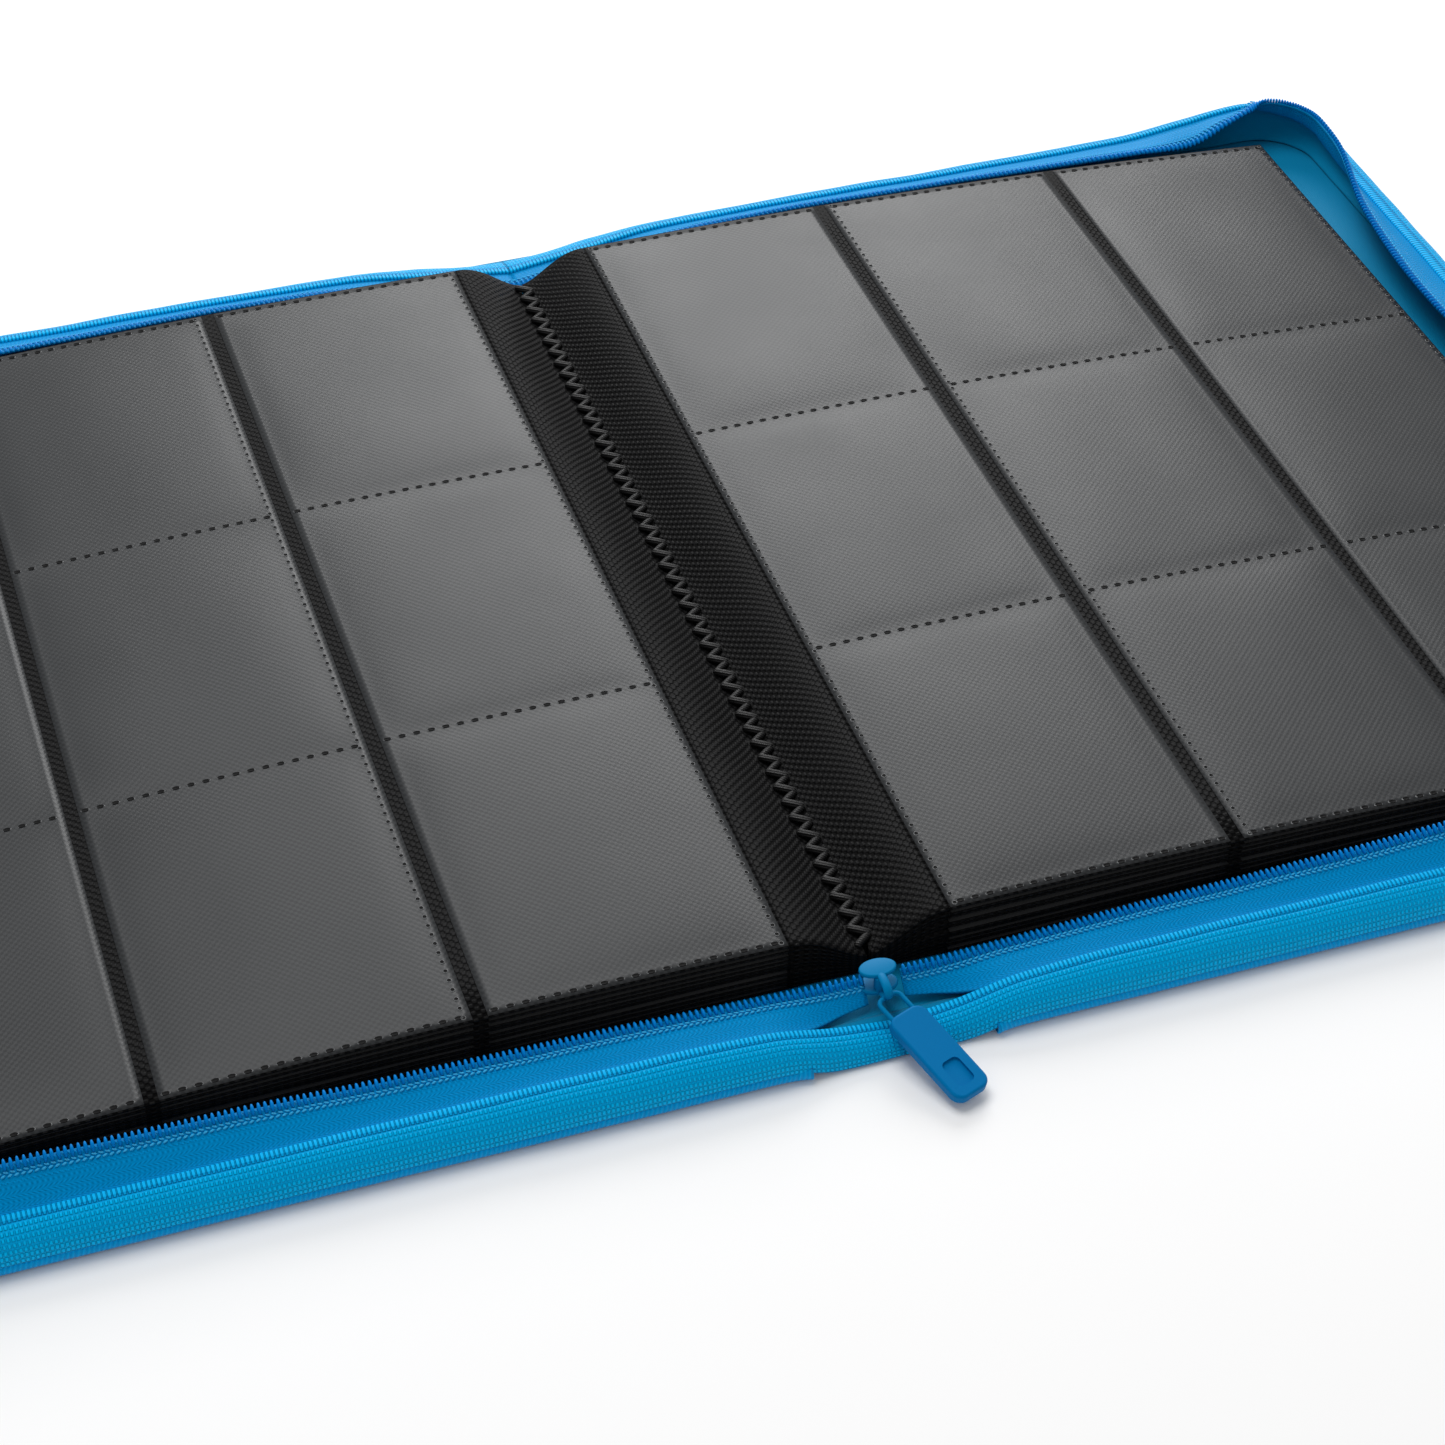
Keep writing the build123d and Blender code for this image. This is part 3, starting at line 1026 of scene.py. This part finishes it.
for side, sign in SIDES:
    for label, front in (("front", True), ("back", False)):
        mesh = bmesh.new()
        for pattern, x, y in weld_rows():
            slope = math.atan2(page_height(TOP, x + 1) - page_height(TOP, x - 1), 2)
            z = page_height(TOP, x) + (FILM * 2 + BACKING + 0.03 if front else -0.03)
            place = Matrix.Translation((x, y, z)) @ Matrix.Rotation(-slope, 4, "Y")
            if not front:
                place = place @ Matrix.Rotation(math.pi, 4, "X")
            stamp(mesh, pattern, place)
        name = f"{side}_{label}_weld_dots"
        welds = finish_piece(name, mesh, sign, [lip_highlight_finish, pit_and_hole_shade_finish])
        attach(welds, side + "_leaf")
        gives(welds)
print("weld dots a face:", len(list(weld_rows())))

# %% [markdown]
# ## Gutter strips and thread
# Each page hangs on a strip of the same black sheet. The strips rise steeply from the stitching and
# bend over to meet their pages. A thick zigzag thread holds them all to the spine. A stitch is a
# ball pulled out into a capsule, and a flat dark one beside each end is painted shade for the needle
# hole.


# %% Strips
STRIP_END = 18.9
STRIP_LENGTH = 21.5


def strip_curve(leaf):
    """A strip's cross-section, from the stitching to its page."""
    base = 4.3 + 0.5 * leaf
    end = BOTTOM + 1.45 * leaf + FILM
    lift = (end - base) / 9.0
    return [(0.6, base), (6.0, base + 1.4 * lift), (11.0, base + 9.3 * lift), (STRIP_END, end)]


def strip_sheet(leaf, side):
    slip = shuffled(leaf, side)[1] if leaf < TOP else 0.0

    def place(u, v):
        x, z = bezier(strip_curve(leaf), u)
        y = (2 * v - 1) * PAGE_HALF
        wave = 0.22 * wander(y / 26, leaf * 3, side) * math.sin(math.pi * u)
        return x, y + slip * u, z + BACKING + wave, STRIP_LENGTH * u, y

    return place


for side, sign in SIDES:
    mesh = bmesh.new()
    for leaf in range(TOP):
        add_grid(mesh, 22, 30, strip_sheet(leaf, sign))
    strips = finish_piece(side + "_page_strips", mesh, sign, [sheet_finish])
    thicken(strips, BACKING)
    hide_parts(side + "_inner_strips")
    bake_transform(strips)
    mesh = bmesh.new()
    add_grid(mesh, 40, 120, strip_sheet(TOP, sign))
    strip = finish_piece(side + "_top_page_strip", mesh, sign, [sheet_finish])
    thicken(strip, BACKING)
    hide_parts(side + "_top_strip")
    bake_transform(strip)
print("strips a side:", LEAVES)

# %% Zigzag thread
STITCH = 5.6  # one zig and one zag
REACH = 1.9  # how far a stitch ends from the middle
pattern = bmesh.new()
bmesh.ops.create_uvsphere(pattern, u_segments=10, v_segments=8, radius=0.95)
run = math.hypot(2 * REACH, STITCH / 2)
for point in pattern.verts:
    point.co.z += math.copysign(run / 2 - 0.4, point.co.z) if abs(point.co.z) > 0.05 else 0
bmesh.ops.rotate(pattern, matrix=Matrix.Rotation(math.pi / 2, 3, "X"), verts=pattern.verts)
bead = bpy.data.meshes.new("stitch")
pattern.to_mesh(bead)
pattern.free()

mesh = bmesh.new()
count = int(2 * (PAGE_HALF - 3) / STITCH)
angle = math.atan2(2 * REACH, STITCH / 2)
for n in range(count):
    y = (n - (count - 1) / 2) * STITCH
    for way in (-1, 1):
        place = Matrix.Translation((0, y + way * STITCH / 4, 10.2 + 0.15 * way))
        stamp(mesh, bead, place @ Matrix.Rotation(way * angle, 4, "Z"))
        # Painted shade: a flat dark capsule beside each stitch end stands in for the needle hole.
        hole = Matrix.Translation((way * 2.7, y + (way - 1) * STITCH / 4 + 0.4, 9.7))
        dark = len(mesh.faces)
        stamp(mesh, bead, hole @ Matrix.Diagonal((1.15, 0.42, 0.35, 1)))
        mesh.faces.ensure_lookup_table()
        for face in mesh.faces[dark:]:
            face.material_index = 1
thread = finish_piece("gutter_zigzag_thread", mesh, 1, [thread_finish, pit_and_hole_shade_finish])
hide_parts("gutter_stitch")
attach(thread, "spine")
print("stitches:", count)

# %% [markdown]
# ## The slider
# The slider is a painted casting: a rounded top plate, a wider one below it, a post between them
# and a loop at the nose, over which the pull's wire hangs. The plates are round discs flattened
# in plan, with soft edges, and the loop is a bar swept along a bent line.

# %% Slider
low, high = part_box("slider_body")
COIL_Y = -151.0
SLIDER = Vector(((low.x + high.x) / 2 / MM, COIL_Y, low.z / MM))
print("slider between", low.z / MM, "and", high.z / MM)


def disc(mesh, centre, size, thickness, soft):
    """A round plate with bevelled rims."""
    made = bmesh.ops.create_cone(mesh, cap_ends=True, segments=32, radius1=1, radius2=1, depth=1)
    points = made["verts"]
    bmesh.ops.scale(mesh, vec=(size[0] / 2, size[1] / 2, thickness), verts=points)
    bmesh.ops.translate(mesh, vec=centre, verts=points)
    rims = {e for p in points for e in p.link_edges if len(e.link_faces) == 2
            and max(len(f.verts) for f in e.link_faces) > 4}
    bmesh.ops.bevel(mesh, geom=list(rims), offset=soft, segments=3, profile=0.5, affect="EDGES",
                    material=-1)


def loop_bar(u, v):
    """The loop at the nose: a flat bar from the top plate, over the wire and back below."""
    path = [(-1.5, 5.0), (-7.0, 5.9), (-9.0, 2.2), (-3.2, 1.0)]
    back, rise = bezier(path, u)
    step, climb = bezier(path, min(u + 0.02, 1.0)) - bezier(path, max(u - 0.02, 0.0))
    along = math.atan2(climb, step)
    turn = 2 * math.pi * v
    side, off = 1.05 * math.cos(turn), 0.6 * math.sin(turn)
    y = back - off * math.sin(along)
    z = rise + off * math.cos(along)
    return SLIDER.x + side, SLIDER.y + y, SLIDER.z + z, 12 * u, 5 * v


PLATE = 1.1
SOFT_RIM = 0.42
mesh = bmesh.new()
disc(mesh, (SLIDER.x, SLIDER.y + 0.6, SLIDER.z + 5.0), (8.8, 5.6), PLATE, SOFT_RIM)
disc(mesh, (SLIDER.x, SLIDER.y - 0.2, SLIDER.z + 0.8), (9.4, 6.2), PLATE, SOFT_RIM)
disc(mesh, (SLIDER.x, SLIDER.y - 1.6, SLIDER.z + 2.9), (3.0, 3.4), 3.6, 0.2)
add_grid(mesh, 24, 14, loop_bar)
bmesh.ops.remove_doubles(mesh, verts=mesh.verts, dist=0.001)
bmesh.ops.holes_fill(mesh, edges=mesh.edges, sides=20)
bmesh.ops.recalc_face_normals(mesh, faces=mesh.faces)
slider = finish_piece("slider_casting", mesh, 1, [slider_finish])
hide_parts("slider_body")
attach(slider, "slider")

# %% [markdown]
# ## Boards and pull
# The boards, the pull's wire and the moulded pull already have their real shape in the CAD. They
# keep it, and take the finishes made above.

# %% CAD finishes
CAD_FINISHES = {
    "spine_board": board_finish,
    "right_cover_board": board_finish,
    "left_cover_board": board_finish,
    "pull_wire": slider_finish,
    "pull_tab": pull_finish,
}
for node, material in CAD_FINISHES.items():
    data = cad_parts[node].data
    data.materials.clear()
    data.materials.append(material)
print("CAD nodes kept:", len(CAD_FINISHES))

# %% Floor
floor_mesh = bmesh.new()
bmesh.ops.create_grid(floor_mesh, x_segments=1, y_segments=1, size=3.0)
floor_data = bpy.data.meshes.new("floor")
floor_mesh.to_mesh(floor_data)
floor_mesh.free()
floor_data.materials.append(floor_finish)
floor = bpy.data.objects.new("floor", floor_data)
floor_data.transform(Matrix.Translation((0, 0, -0.0003)))
bpy.context.scene.collection.objects.link(floor)
